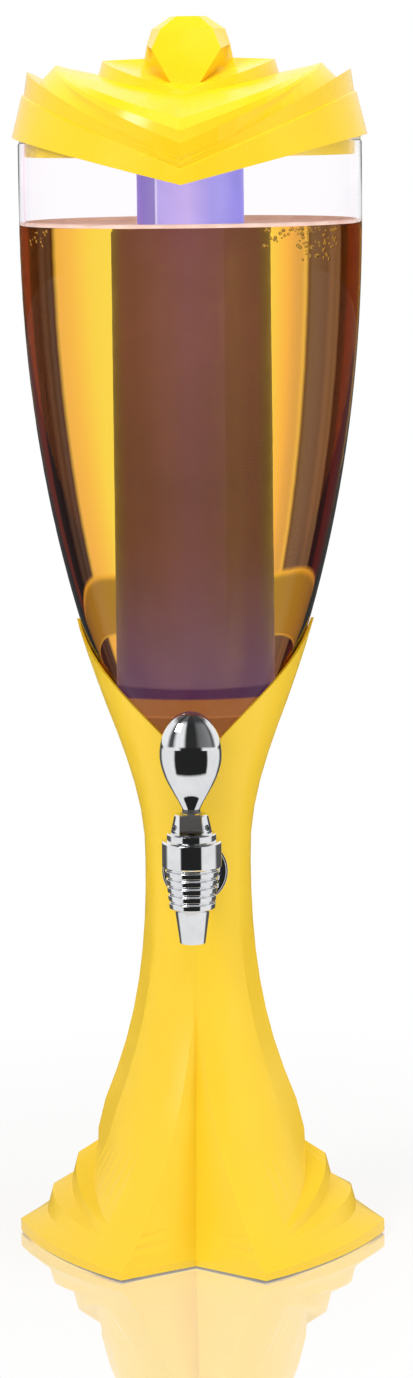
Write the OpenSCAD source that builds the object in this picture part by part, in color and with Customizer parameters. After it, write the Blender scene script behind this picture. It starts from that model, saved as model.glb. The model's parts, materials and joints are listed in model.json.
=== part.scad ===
// Beer tower dispenser: a moulded pleated stand, a clear tapered tank with an ice tube,
// a crown lid, a chromed lever tap and a battery lamp that shines up into the drink.
// Millimetres. Z is up, the tap points along -Y, and the origin is on the table under the centre.

/* [Stand] */
// Outer radius of the column at its waist
waist_r = 26; // [25:0.5:29]
// Height of the waist, where the tap goes through
waist_z = 190; // [184:1:200]
// Wall of the stand shell
stand_wall = 2.4; // [2:0.1:3]
// Reach of the foot's side points from the centre
foot_side_r = 91; // [84:1:98]
// Reach of the foot's front and rear points from the centre
foot_point_r = 93; // [86:1:96]
// Reach of the notch between two points
foot_notch_r = 62; // [56:1:66]
// Angle of each front and rear point from the centre line
foot_point_a = 22; // [19:1:26]
// How far the long edges of the foot are drawn in from a circle
foot_sag = 9; // [5:0.5:12]
// Height of the shell's lower edge over the table
foot_lift = 1; // [0.6:0.1:1.6]
// Height at which the front and rear valleys fade out
valley_top_z = 133; // [115:1:145]
// Height of the collar's front and rear dips
collar_dip_z = 240; // [230:1:248]
// Height of the collar's side tips
collar_tip_z = 310; // [296:1:316]

/* [Foot pleats] */
// Height of the sole band at the side
sole_side_z = 7; // [6:0.5:8]
// Height of the sole band at the points
sole_point_z = 4.5; // [4.2:0.1:5.5]
// Height of the lowest pleat's crease at the side
pleat_z = 14.5; // [12:0.5:16]
// Rise from one crease to the next at the side
pleat_rise = 16.6; // [14:0.2:17]
// How far each crease steps in from the one below
pleat_step = 12.8; // [10:0.2:13]
// Height of the riser that stands on a crease
pleat_riser = 10; // [7:0.5:12]
// Lean of a riser towards the centre
pleat_lean = 2.6; // [1.5:0.1:4]
// Angle from the front at which the pleats begin
pleat_start_a = 34; // [30:1:42]

/* [Tank] */
// Outer radius of the tank's straight upper part
tank_r = 82.6; // [80:0.1:86]
// Height of the tank's rim
rim_z = 541; // [534:1:545]
// Height at which the straight upper part begins
tank_straight_z = 508; // [480:1:515]
// Radius of the tank halfway, at the height of the collar's tips
tank_mid_r = 56.2; // [52:0.2:60]
// Outward slope of the wall there
tank_mid_slope = 0.29; // [0.24:0.01:0.34]
// Wall of the tank
tank_wall = 2.6; // [2.2:0.1:3.2]
// Room between the tank and the stand shell
tank_gap = 0.5; // [0.4:0.1:0.8]
// Depth of the tank's neck below the tap
neck_depth = 17; // [15:1:22]

/* [Ice tube] */
// Outer radius of the ice tube
tube_r = 25.8; // [22:0.2:28]
// Wall of the ice tube
tube_wall = 2; // [1.6:0.1:2.6]
// Height of the ice tube's closed end
tube_foot_z = 268; // [256:1:290]

/* [Lid] */
// Overall height of the dispenser, to the top of the lid's bud
total_h = 600; // [596:1:610]
// Wall of the lid crown
lid_wall = 2.4; // [2:0.1:2.8]
// Room between the lid's skirt and the tank
lid_gap = 0.4; // [0.3:0.1:0.6]
// Height of the skirt's lower edge at the sides
lid_side_z = 543.5; // [541:0.5:544]
// Height of the skirt's tip at the front and rear
lid_tip_z = 521.5; // [512:0.5:526]

/* [Tap] */
// Distance of the tap's upright axis from the centre of the column
tap_reach = 57; // [54:1:64]
// Radius of the tap's main barrel
barrel_r = 14.3; // [13.5:0.1:15]
// Radius of the tap's flange
flange_r = 16; // [15:0.5:18]
// Outer radius of the shank
shank_r = 7; // [6:0.5:8]
// Radius of the way through the shank and the spout
way_r = 4.4; // [3.5:0.1:4.6]
// Radius of the spout at its mouth
mouth_r = 6.2; // [5.6:0.1:6.6]
// Height of the spout's mouth above the table
mouth_z = 160; // [156:1:164]
// Greatest half width of the lever's knob
knob_half_w = 15; // [13:0.5:17]
// Greatest half depth of the lever's knob
knob_half_d = 8.5; // [7:0.5:9.5]
// Length of the lever's knob
knob_len = 47; // [40:1:50]

/* [Battery lamp] */
// Radius of the lamp housing
lamp_r = 19; // [16:0.5:19.5]
// Height of the lamp housing
lamp_h = 18; // [15:1:20]
// Radius of an AA cell
cell_r = 7.1; // [7:0.05:7.25]
// Length of an AA cell
cell_len = 50.5; // [49:0.5:51]
// Radius of the push button
button_r = 6; // [5:0.5:7]
// Travel of the push button
button_travel = 1.5; // [1:0.1:2]

/* [Hidden] */
$fn = 48;

yellow = "#FFD52E";
chrome = "#D8DADF";
clear = [0.95, 0.97, 1, 0.3];
lilac = [0.66, 0.58, 0.95, 0.7];
eps = 0.01;

// ---- shapes that repeat ----

function mix(a, b, t) = a + (b - a) * t;
function clamp01(t) = max(0, min(1, t));
// Cubic from a to b over t = 0..1, with end slopes ma and mb per unit of t
function cubic(a, b, ma, mb, t) =
    a * (2*t*t*t - 3*t*t + 1) + ma * (t*t*t - 2*t*t + t) + b * (3*t*t - 2*t*t*t) + mb * (t*t*t - t*t);
// Point on a meridian: a is the angle from the front, growing towards +X
function spot(r, a, z) = [r * sin(a), -r * cos(a), z];

// Cylinder along Y from y0 to y1
module rod_y(r, y0, y1, x = 0, z = 0) {
    translate([x, y0, z]) rotate([-90, 0, 0]) cylinder(r = r, h = y1 - y0);
}
// Cylinder along X, centred on x = 0
module rod_x(r, len, y = 0, z = 0) {
    translate([-len / 2, y, z]) rotate([0, 90, 0]) cylinder(r = r, h = len);
}
module ring(r_out, r_in, z0, z1) {
    translate([0, 0, z0]) difference() {
        cylinder(r = r_out, h = z1 - z0);
        translate([0, 0, -1]) cylinder(r = r_in, h = z1 - z0 + 2);
    }
}
// Triangles of a closed grid of rows, n points to a row; flip turns them inside out
function band(first, rows, n, flip) = [
    for (j = [0 : rows - 2], i = [0 : n - 1], half = [0, 1])
        let (a = first + j*n + i, b = first + j*n + (i + 1) % n, c = b + n, d = a + n,
             t = half == 0 ? [a, c, b] : [a, d, c])
        flip ? [t[0], t[2], t[1]] : t
];
// Fan that closes a row
function fan(first, n, flip) = [
    for (i = [1 : n - 2]) flip ? [first, first + i + 1, first + i] : [first, first + i, first + i + 1]
];
// Strip between two rows of the same length
function strip(p, q, n) = [
    for (i = [0 : n - 1], half = [0, 1])
        let (a = p + i, b = p + (i + 1) % n, c = q + (i + 1) % n, d = q + i)
        half == 0 ? [a, b, c] : [a, c, d]
];
function flat_rows(rows) = [for (row = rows) each row];
// Shell between an outer and an inner skin, open at the bottom and at the top
module sleeve(outer, inner) {
    n = len(outer[0]);
    a = len(outer);
    b = len(inner);
    polyhedron(concat(flat_rows(outer), flat_rows(inner)), concat(
        band(0, a, n, false), band(a*n, b, n, true),
        strip(0, a*n, n), strip((a + b - 1)*n, (a - 1)*n, n)), convexity = 10);
}
// Shell that is open at the bottom and closed at the top
module cap_shell(outer, inner) {
    n = len(outer[0]);
    a = len(outer);
    b = len(inner);
    polyhedron(concat(flat_rows(outer), flat_rows(inner)), concat(
        band(0, a, n, false), band(a*n, b, n, true), strip(0, a*n, n),
        fan((a - 1)*n, n, true), fan((a + b - 1)*n, n, false)), convexity = 10);
}
// Closed solid of stacked rows
module stack(rows) {
    n = len(rows[0]);
    polyhedron(flat_rows(rows), concat(band(0, len(rows), n, false), fan(0, n, false),
        fan((len(rows) - 1)*n, n, true)), convexity = 6);
}

// ---- outlines that several pieces share ----

// The folded angle of column i is counted from the nearer front or rear valley
quarter = 15;
columns = 4 * quarter;
function column_side(i) = floor(i / quarter);
function column_step(i) =
    column_side(i) % 2 == 0 ? i % quarter : quarter - i % quarter;
function unfold(i, q) = column_side(i) % 2 == 0 ? 90 * column_side(i) + q : 90 * (column_side(i) + 1) - q;

// Tank: neck, flare up to the collar's tips, then the long curve to the straight top
neck_r = waist_r - stand_wall - tank_gap;
tank_foot_z = waist_z - neck_depth;
neck_top_z = waist_z + 5;
function tank_out(z) =
    z <= neck_top_z ? neck_r :
    z <= collar_tip_z ?
        cubic(neck_r, tank_mid_r, 0, tank_mid_slope * (collar_tip_z - neck_top_z),
            (z - neck_top_z) / (collar_tip_z - neck_top_z)) :
    z <= tank_straight_z ?
        cubic(tank_mid_r, tank_r, tank_mid_slope * (tank_straight_z - collar_tip_z), 0,
            (z - collar_tip_z) / (tank_straight_z - collar_tip_z)) :
    tank_r;

// Stand: fade is 1 at the sole and 0 at the waist
ridge_power = 2.3;
valley_power = 1.8;
function fade(z, power) = pow(clamp01((waist_z - z) / (waist_z - sole_point_z)), power);
function ridge_r(z) = waist_r + (foot_point_r - waist_r) * fade(z, ridge_power);
function valley_r(z) = waist_r + (foot_notch_r - waist_r) * fade(z, valley_power);
least_ridge_a = 3;
function ridge_a(z) = max(least_ridge_a, foot_point_a * (1 - z / valley_top_z));
// The flank's second ridge moves forward as it climbs
flank_low_a = 72;
flank_high_a = 46;
function flank_a(z) = mix(flank_low_a, flank_high_a, clamp01(z / waist_z));
// Side apex above the pleats
foot_side_inset = 14;
hip_z = pleat_z + 2 * pleat_rise + 6;
hip_r = foot_side_r - foot_side_inset - 2 * pleat_step;
hip_slope = -0.1;
knee_z = hip_z + 28;
knee_r = hip_r - 8.8;
knee_slope = -0.38;
function hip_side_r(z) =
    z < hip_z ? mix(foot_side_r, hip_r, z / hip_z) :
    z < knee_z ? cubic(hip_r, knee_r, hip_slope * (knee_z - hip_z), knee_slope * (knee_z - hip_z),
        (z - hip_z) / (knee_z - hip_z)) :
    z < waist_z ? cubic(knee_r, waist_r, knee_slope * (waist_z - knee_z), 0, (z - knee_z) / (waist_z - knee_z)) :
    waist_r;

// Columns: two for the valley's wall, nine for the broad panel, four for the narrow flank
valley_steps = 2;
panel_steps = 9;
function local_q(s, z) =
    s <= valley_steps ? ridge_a(z) * s / valley_steps :
    s <= valley_steps + panel_steps ? mix(ridge_a(z), flank_a(z), (s - valley_steps) / panel_steps) :
    mix(flank_a(z), 90, (s - valley_steps - panel_steps) / (quarter - valley_steps - panel_steps));
function round_share(z) = let (t = clamp01((z - valley_top_z) / (waist_z - valley_top_z))) t * t * (3 - 2 * t);
function column_q(s, z) = mix(local_q(s, z), 90 * s / quarter, round_share(z));
// Radius where a straight line from radius ra at angle a to radius rb at angle b crosses angle q
function chord_r(ra, a, rb, b, q) = ra * rb * sin(b - a) / (ra * sin(q - a) + rb * sin(b - q));
function panel_r(q, z) =
    let (a = ridge_a(z), t = clamp01((q - a) / (90 - a)))
    mix(ridge_r(z), hip_side_r(z), t) - foot_sag * fade(z, ridge_power) * 4 * t * (1 - t);
function plain_r(q, z) =
    q < ridge_a(z) ? chord_r(valley_r(z), 0, ridge_r(z), ridge_a(z), q) :
    q <= flank_a(z) || z < hip_z ? panel_r(q, z) :
    mix(chord_r(panel_r(flank_a(z), z), flank_a(z), hip_side_r(z), 90, q), panel_r(q, z), round_share(z));

// Pleats: each is a crease and the riser on it, and they run out on the plain flank near the front
pleats = 3;
pleat_front_z = 11;
pleat_front_rise = 5;
pleat_power = 1.2;
riser_power = 0.7;
function pleat_share(q) = pow(clamp01((q - pleat_start_a) / (90 - pleat_start_a)), pleat_power);
function crease_z(k, w) = mix(pleat_front_z + k * pleat_front_rise, pleat_z + k * pleat_rise, w);
function crease_r(k, q, w) =
    mix(plain_r(q, crease_z(k, w)), foot_side_r - foot_side_inset - k * pleat_step, w);
function riser_z(k, w) = crease_z(k, w) + mix(pleat_front_rise / 2, pleat_riser, pow(w, riser_power));
function riser_r(k, q, w) = mix(plain_r(q, riser_z(k, w)), crease_r(k, q, w) - pleat_lean * w, pow(w, riser_power));
function sole_top_z(q) = mix(sole_point_z, sole_side_z, clamp01((q - foot_point_a) / (90 - foot_point_a)));
function foot_spot(i, z, wall) =
    let (q = column_q(column_step(i), z)) spot(plain_r(q, z) - wall, unfold(i, q), z);
function sole_spot(i, lift, wall) =
    let (q = column_q(column_step(i), 0), z = lift ? sole_top_z(q) : foot_lift)
    spot(plain_r(q, 0) - wall, unfold(i, q), z - (lift ? wall * 0.7 : 0));
function pleat_spot(i, k, up, wall) =
    let (front_q = column_q(column_step(i), pleat_front_z + k * pleat_front_rise), w = pleat_share(front_q),
         q = mix(front_q, column_q(column_step(i), 0), w),
         r = up ? riser_r(k, q, w) : crease_r(k, q, w), z = up ? riser_z(k, w) : crease_z(k, w))
    spot(r - wall * mix(1, 0.9, w), unfold(i, q), z - wall * mix(0.3, 0.7, w));

// Rows of the column and of the collar
column_rows = 9;
collar_rows = 9;
function column_z(j) = mix(hip_z, waist_z, j / column_rows);
function collar_edge_z(i) = mix(collar_dip_z, collar_tip_z, column_step(i) / quarter);
collar_thin = 1.1;
function collar_spot(i, j, wall) =
    let (z = mix(waist_z, collar_edge_z(i), j / collar_rows), t = clamp01((j - collar_rows + 3) / 3))
    spot(tank_out(z) + tank_gap + (stand_wall - collar_thin * t) * (wall > 0 ? 0 : 1),
        90 * i / quarter, z);

function stand_rows(wall) = concat(
    [for (lift = [false, true]) [for (i = [0 : columns - 1]) sole_spot(i, lift, wall)]],
    [for (k = [0 : pleats - 1], up = [false, true]) if (!up || k < pleats - 1)
        [for (i = [0 : columns - 1]) pleat_spot(i, k, up, wall)]],
    [for (j = [0 : column_rows - 1]) [for (i = [0 : columns - 1]) foot_spot(i, column_z(j), wall)]],
    [for (j = [0 : collar_rows]) [for (i = [0 : columns - 1]) collar_spot(i, j, wall)]]);

// ---- stand ----

// Screw bosses that hang inside the shell: place and top
boss_r = 4;
boss_side = [hip_r - stand_wall - boss_r + 0.9, hip_z + 5];
boss_valley_top = hip_z + 8;
boss_valley = valley_r(boss_valley_top) - stand_wall - boss_r + 1.6;
boss_spots = [[boss_side[0], 0, boss_side[1]], [-boss_side[0], 0, boss_side[1]],
    [0, boss_valley, boss_valley_top], [0, -boss_valley, boss_valley_top]];
screw_r = 1.45;
screw_slack = 0.05;
screw_grip = 12;
plate_z = 2;
plate_h = 2.4;
ledge_h = 2.5;
cushion_h = 3;
ledge_z = tank_foot_z - cushion_h - ledge_h;
ledge_r = lamp_r - 1;

shank_room = 0.4;
module stand_shell() {
    color(yellow) difference() {
        union() {
            sleeve(stand_rows(0), stand_rows(stand_wall));
            ring(ridge_r(ledge_z) - stand_wall / 2, ledge_r, ledge_z, ledge_z + ledge_h);
            for (b = boss_spots) translate([b[0], b[1], plate_z + plate_h])
                cylinder(r = boss_r, h = b[2] - plate_z - plate_h);
        }
        for (b = boss_spots) translate([b[0], b[1], plate_z])
            cylinder(r = screw_r + screw_slack, h = plate_h + screw_grip + 1);
        rod_y(shank_r + shank_room, -waist_r - 3, -neck_r + 1, 0, waist_z);
    }
}

// Outline of the shell's foot, drawn in by a margin
module foot_outline(margin) {
    polygon([for (i = [0 : columns - 1])
        let (q = column_q(column_step(i), 0), p = spot(plain_r(q, 0) - margin, unfold(i, q), 0)) [p[0], p[1]]]);
}

plate_room = 1.6;
tongue_w = 12;
tongue_h = 1;
tongue_reach = 1.2;
cell_gap = 0.3;
cell_pitch = 2 * cell_r + cell_gap;
contact_len = 2.6;
contact_w = 10;
contact_h = 0.5;
tray_wall = 1.6;
tray_in_x = cell_len / 2 + contact_len + contact_h;
tray_in_y = 1.5 * cell_pitch + 0.6;
cell_z = plate_z + plate_h + tongue_h + 0.2 + cell_r;
tray_roof_z = cell_z + cell_r + 0.5;
tray_top_z = tray_roof_z + tray_wall;
door_room = 0.3;
door_h = plate_h - 0.4;
door_tab = 8;
door_end_x = -tray_in_x - door_tab;
door_screw_x = -tray_in_x - tray_wall - 2.6;
door_boss_r = 3.6;
door_boss_h = 10;
wire_hole_r = 3.2;

button_x = -hip_r - 13;
button_room = 0.25;
button_rest_z = 0.8;
button_brim = 1.2;
button_brim_z = plate_z + plate_h + 0.1;
switch_z = button_brim_z + button_brim + 4;
switch_size = [12, 16, 5.4];
switch_rail = 1.6;
pad_r = 6.5;
pad_spots = [[0.875, 90], [-0.875, 90], [0.82, 29], [-0.82, 29], [0.82, 151], [-0.82, 151]];
function pad_at(p) = let (q = p[1] > 90 ? 180 - p[1] : p[1], r = plain_r(q, 0) * abs(p[0]))
    [sign(p[0]) * r * sin(p[1]), -r * cos(p[1]), 0];

module base_plate() {
    color("#3A3B3E") difference() {
        union() {
            translate([0, 0, plate_z]) linear_extrude(plate_h) foot_outline(stand_wall + plate_room);
            // Battery tray, the boss for its door and the rails of the switch
            translate([-tray_in_x - tray_wall, -tray_in_y - tray_wall, plate_z + plate_h - eps])
                cube([2 * (tray_in_x + tray_wall), 2 * (tray_in_y + tray_wall), tray_top_z - plate_z - plate_h]);
            translate([door_screw_x, 0, plate_z + door_h]) cylinder(r = door_boss_r, h = door_boss_h);
            for (s = [-1, 1]) translate([button_x - switch_size[0] / 2,
                s * (switch_size[1] / 2 + switch_rail / 2 + screw_slack) - switch_rail / 2, plate_z + plate_h - eps])
                cube([switch_size[0], switch_rail, switch_z + switch_size[2] - plate_z - plate_h]);
        }
        // Inside of the tray and the door's opening
        translate([-tray_in_x, -tray_in_y, plate_z - 1])
            cube([2 * tray_in_x, 2 * tray_in_y, tray_roof_z - plate_z + 1]);
        translate([door_end_x, -tray_in_y, plate_z - 1])
            cube([tray_in_x - door_end_x, 2 * tray_in_y, door_h + 1 + 0.1]);
        translate([tray_in_x - 1, -tongue_w / 2 - door_room, plate_z + plate_h])
            cube([tongue_reach + 1 + door_room, tongue_w + 2 * door_room, tongue_h + door_room]);
        translate([door_screw_x, 0, plate_z]) cylinder(r = screw_r + screw_slack, h = door_boss_h);
        translate([0, 0, tray_roof_z - 1]) cylinder(r = wire_hole_r, h = tray_wall + 2);
        for (b = boss_spots) translate([b[0], b[1], plate_z - 1])
            cylinder(r = screw_r + 0.3, h = plate_h + 2);
        translate([button_x, 0, plate_z - 1]) cylinder(r = button_r + button_room, h = plate_h + 2);
    }
}

head_r = 2.9;
head_h = 1.5;
module pan_screw(x, y, head_z, grip) {
    translate([x, y, head_z - head_h]) difference() {
        cylinder(r = head_r, h = head_h);
        for (a = [0, 90]) rotate(a) translate([-1.7, -0.35, -1]) cube([3.4, 0.7, 1.8]);
    }
    translate([x, y, head_z - eps]) cylinder(r = screw_r, h = grip);
}
module plate_screws() {
    color("#B9BCC2") for (b = boss_spots) pan_screw(b[0], b[1], plate_z, plate_h + screw_grip);
}
module foot_pads() {
    color("#2B2B2D") for (p = pad_spots) translate(pad_at(p)) cylinder(r = pad_r, h = plate_z);
}
module battery_door() {
    color("#3A3B3E") difference() {
        union() {
            translate([door_end_x + door_room, -tray_in_y + door_room, plate_z])
                cube([tray_in_x - door_end_x - 2 * door_room, 2 * (tray_in_y - door_room), door_h]);
            translate([tray_in_x - 6, -tongue_w / 2, plate_z + door_h - eps])
                cube([6 - door_room, tongue_w, plate_h - door_h + tongue_h]);
            translate([tray_in_x - 6, -tongue_w / 2, plate_z + plate_h + 0.1])
                cube([6 + tongue_reach, tongue_w, tongue_h - 0.1]);
        }
        translate([door_screw_x, 0, plate_z - 1]) cylinder(r = screw_r + 0.3, h = door_h + 2);
        // Finger grooves that show which way it slides off
        for (k = [-2 : 2]) translate([-tray_in_x / 2 + 3 * k, -7, plate_z - 0.5]) cube([1.2, 14, 1]);
    }
}
module battery_door_screw() {
    color("#B9BCC2") pan_screw(door_screw_x, 0, plate_z, door_boss_h - 1);
}
module battery_cells() {
    nub_r = 2.7;
    nub_h = 1;
    color("#7C8A99") for (k = [-1 : 1]) translate([0, k * cell_pitch, cell_z])
        rotate([0, k == 0 ? -90 : 90, 0]) translate([0, 0, -cell_len / 2]) {
            cylinder(r = cell_r, h = cell_len - nub_h);
            translate([0, 0, cell_len - nub_h]) cylinder(r = nub_r, h = nub_h);
        }
}
module battery_contacts() {
    color("#C9CCD1") for (k = [-1 : 1], s = [-1, 1]) translate([s * tray_in_x, k * cell_pitch, cell_z])
        rotate([0, -s * 90, 0]) {
            translate([-contact_w / 2, -contact_w / 2, 0.02]) cube([contact_w, contact_w, contact_h]);
            translate([0, 0, contact_h])
                cylinder(r1 = 3.4, r2 = s * (k == 0 ? -1 : 1) > 0 ? 1.6 : 3, h = contact_len - 0.1);
        }
}

// ---- lamp ----

lamp_top_z = ledge_z - 2.5;
lamp_z = lamp_top_z - lamp_h;
lamp_wall = 1.6;
lamp_floor = 2;
window_h = 2;
board_h = 1.6;
board_z = lamp_top_z - 9;
post_r = 6;
post_in_r = 4.4;
led_r = 2.4;
led_ring_r = lamp_r * 0.55;
led_count = 6;

module lamp_post() {
    color("#E9E9E4") {
        ring(post_r, post_in_r, tray_top_z, lamp_z);
        difference() {
            ring(post_r + 4, post_in_r, tray_top_z, tray_top_z + 2);
            translate([0, 0, tray_top_z]) cylinder(r = post_in_r, h = 3);
        }
    }
}
module lamp_housing() {
    color("#E9E9E4") difference() {
        translate([0, 0, lamp_z]) cylinder(r = lamp_r, h = lamp_h);
        translate([0, 0, lamp_z + lamp_floor]) cylinder(r = lamp_r - lamp_wall - 1.4, h = lamp_h);
        translate([0, 0, board_z]) cylinder(r = lamp_r - lamp_wall, h = lamp_h);
        translate([0, 0, lamp_z - 1]) cylinder(r = post_in_r, h = lamp_floor + 2);
    }
}
module lamp_board() {
    color("#2F6B48") difference() {
        translate([0, 0, board_z]) cylinder(r = lamp_r - lamp_wall - 0.2, h = board_h);
        for (s = [-1, 1]) translate([s * wire_x, 0, board_z - 1]) cylinder(r = wire_r + 0.05, h = board_h + 2);
    }
}
module lamp_leds() {
    color("#F4F6FF") for (k = [0 : led_count - 1]) rotate(k * 360 / led_count)
        translate([led_ring_r, 0, board_z + board_h]) {
            cylinder(r = led_r, h = 1.4);
            translate([0, 0, 1.4]) intersection() {
                sphere(r = led_r);
                cylinder(r = led_r, h = led_r);
            }
        }
}
module lamp_window() {
    color(clear) translate([0, 0, lamp_top_z - window_h]) cylinder(r = lamp_r - lamp_wall - 0.05, h = window_h);
}
wire_x = 1.7;
wire_r = 0.7;
module lamp_wires() {
    color("#B03030") for (s = [-1, 1]) translate([s * wire_x, 0, tray_roof_z])
        cylinder(r = wire_r, h = board_z + board_h - tray_roof_z);
}

// ---- push button under the foot ----

module power_button() {
    color("#D9482B") translate([button_x, 0, 0]) {
        translate([0, 0, button_rest_z]) cylinder(r = button_r, h = button_brim_z - button_rest_z + eps);
        translate([0, 0, button_brim_z]) cylinder(r = button_r + 1.3, h = button_brim);
    }
}
module button_switch() {
    color("#26272A") translate([button_x - switch_size[0] / 2, -switch_size[1] / 2, switch_z]) cube(switch_size);
}
// Round wire wound along a helix that closes up flat at both ends
module coil(r, wire, z0, z1, turns, steps, sides) {
    n = turns * steps;
    flat = 0.75 * steps;
    lift = z1 - z0 - wire;
    function climb(j) = j < flat ? j / flat * wire * 1.1 : j > n - flat ? lift - (n - j) / flat * wire * 1.1 :
        wire * 1.1 + (lift - 2.2 * wire) * (j - flat) / (n - 2 * flat);
    rows = [for (j = [0 : n]) let (a = j * 360 / steps, z = z0 + wire / 2 + climb(j))
        [for (k = [0 : sides - 1]) let (b = -k * 360 / sides, p = r + wire / 2 * cos(b))
            [p * cos(a), p * sin(a), z + wire / 2 * sin(b)]]];
    stack(rows);
}
button_wire = 0.5;
module button_spring() {
    color("#C9CCD1") translate([button_x, 0, 0])
        coil(4, button_wire, button_brim_z + button_brim, switch_z, 4, 14, 6);
}

// ---- tank and ice tube ----

tank_steps = 30;
tank_floor = 3;
boss_in_y = -neck_r + tank_wall + 9;
port_boss_r = 11;
function tank_curve_z(k, z0) = mix(z0, tank_straight_z, k / tank_steps);
module tank_outline() {
    z0 = neck_top_z;
    foot_bevel = 1.2;
    rim_round = 1;
    polygon(concat(
        [[0, tank_foot_z], [neck_r - foot_bevel, tank_foot_z], [neck_r, tank_foot_z + foot_bevel]],
        [for (k = [0 : tank_steps]) let (z = tank_curve_z(k, z0)) [tank_out(z), z]],
        [[tank_r, rim_z - rim_round], [tank_r - rim_round * 0.3, rim_z - rim_round * 0.3],
         [tank_r - rim_round, rim_z], [tank_r - tank_wall, rim_z]],
        [for (k = [tank_steps : -1 : 0]) let (z = tank_curve_z(k, z0)) [tank_out(z) - tank_wall, z]],
        [[neck_r - tank_wall, tank_foot_z + tank_floor + 1], [neck_r - tank_wall - 1, tank_foot_z + tank_floor],
         [0, tank_foot_z + tank_floor]]));
}
module tank() {
    color(clear) difference() {
        union() {
            rotate_extrude() tank_outline();
            // Boss that the tap's shank screws into
            intersection() {
                rod_y(port_boss_r, -neck_r + 1, boss_in_y, 0, waist_z);
                translate([0, 0, tank_foot_z + 1]) cylinder(r = neck_r - 0.5, h = 60);
            }
        }
        rod_y(shank_r + screw_slack, -neck_r - 1, boss_in_y + 1, 0, waist_z);
    }
}
module tank_cushion() {
    color("#D8D8D2") ring(neck_r - 1.5, ledge_r, tank_foot_z - cushion_h, tank_foot_z);
}

tube_room = 0.25;
tube_floor = 2.4;
tube_round = 4;
liner_z = rim_z + 1;
liner_h = 2;
tube_top_z = liner_z - 0.3;
spigot_h = 18;
spigot_r = tube_r - tube_wall - tube_room;
seal_z = liner_z - 12;
seal_wire = 1.6;
module ice_tube() {
    color(lilac) rotate_extrude() polygon(concat(
        [[0, tube_foot_z]],
        [for (k = [0 : 4]) let (a = 90 * k / 4)
            [tube_r - tube_round * (1 - sin(a)), tube_foot_z + tube_round * (1 - cos(a))]],
        [[tube_r, tube_top_z], [tube_r - tube_wall, tube_top_z],
         [tube_r - tube_wall, tube_foot_z + tube_round + 1],
         [tube_r - tube_wall - 2.4, tube_foot_z + tube_floor], [0, tube_foot_z + tube_floor]]));
}
module tube_seal() {
    color("#4A4A4E") translate([0, 0, seal_z]) rotate_extrude()
        translate([spigot_r - seal_wire / 2 + tube_room - 0.02, 0]) circle(r = seal_wire / 2, $fn = 24);
}

// ---- lid ----

// A point of the lid goes from its front value to its side value, [reach, height] each
function lid_spot(i, front, side) =
    let (q = column_step(i) * 90 / quarter, s = sin(q))
    spot(mix(front[0], side[0], s * s), i * 360 / columns, mix(front[1], side[1], s));
function lid_row(front, side) = [for (i = [0 : columns - 1]) lid_spot(i, front, side)];
skirt_r = tank_r + lid_gap;
leaf_top_z = lid_side_z + 34;
shelf_z = lid_tip_z + 42;
bud_r = 21.2;
bud_front_r = 33;
bud_top_r = 8;
// The bud's flat front face runs from corner to corner, [angle, reach, height]
bud_face_a = 36;
bud_face_steps = 5;
function bud_spot(i, front, corner, side) =
    let (s = column_step(i), near = s <= bud_face_steps,
         t = near ? s / bud_face_steps : (s - bud_face_steps) / (quarter - bud_face_steps),
         q = near ? corner[0] * t : mix(corner[0], 90, t))
    spot(near ? chord_r(front[0], 0, corner[1], corner[0], q) : chord_r(corner[1], corner[0], side[0], 90, q),
        unfold(i, q), near ? mix(front[1], corner[2], t) : mix(corner[2], side[1], t));
function bud_row(front, corner, side) = [for (i = [0 : columns - 1]) bud_spot(i, front, corner, side)];
// Leaves from the skirt up: band, outer leaf, its valley, inner leaf, top leaf, bud
lid_outer = [
    lid_row([skirt_r + lid_wall + 0.4, lid_tip_z], [skirt_r + lid_wall, lid_side_z]),
    lid_row([skirt_r + lid_wall + 0.3, lid_tip_z + 7], [skirt_r - 2.7, lid_side_z + 20]),
    lid_row([skirt_r + lid_wall - 0.4, lid_tip_z + 7.8], [skirt_r - 3.9, lid_side_z + 20.6]),
    lid_row([skirt_r + lid_wall + 0.1, lid_tip_z + 9.8], [skirt_r - 5.4, leaf_top_z - 3]),
    lid_row([skirt_r + lid_wall - 0.5, lid_tip_z + 11], [skirt_r - 11.8, leaf_top_z - 7.5]),
    lid_row([skirt_r + lid_wall, lid_tip_z + 12.6], [skirt_r - 19.3, leaf_top_z]),
    lid_row([skirt_r + lid_wall + 0.3, lid_tip_z + 19], [skirt_r - 20.6, leaf_top_z - 0.3]),
    lid_row([skirt_r + lid_wall - 0.6, lid_tip_z + 24.8], [skirt_r - 22.4, leaf_top_z - 0.8]),
    lid_row([skirt_r - 3.4, lid_tip_z + 30.4], [skirt_r - 26, leaf_top_z - 1.7]),
    lid_row([52.5, shelf_z - 1.6], [43.3, leaf_top_z - 4.5]),
    lid_row([50.5, shelf_z + 1], [41.3, leaf_top_z + 2]),
    bud_row([bud_front_r, shelf_z + 4], [12, bud_front_r - 0.4, shelf_z + 4.8], [bud_r, leaf_top_z + 2.8]),
    bud_row([24.5, total_h - 16], [bud_face_a, 28, total_h - 15.5], [bud_r - 1.2, total_h - 13]),
    bud_row([18, total_h - 6], [bud_face_a, 21, total_h - 6], [bud_r - 3.6, total_h - 6]),
    bud_row([bud_top_r, total_h], [bud_face_a, bud_top_r + 1, total_h], [bud_top_r + 0.6, total_h])
];
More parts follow.
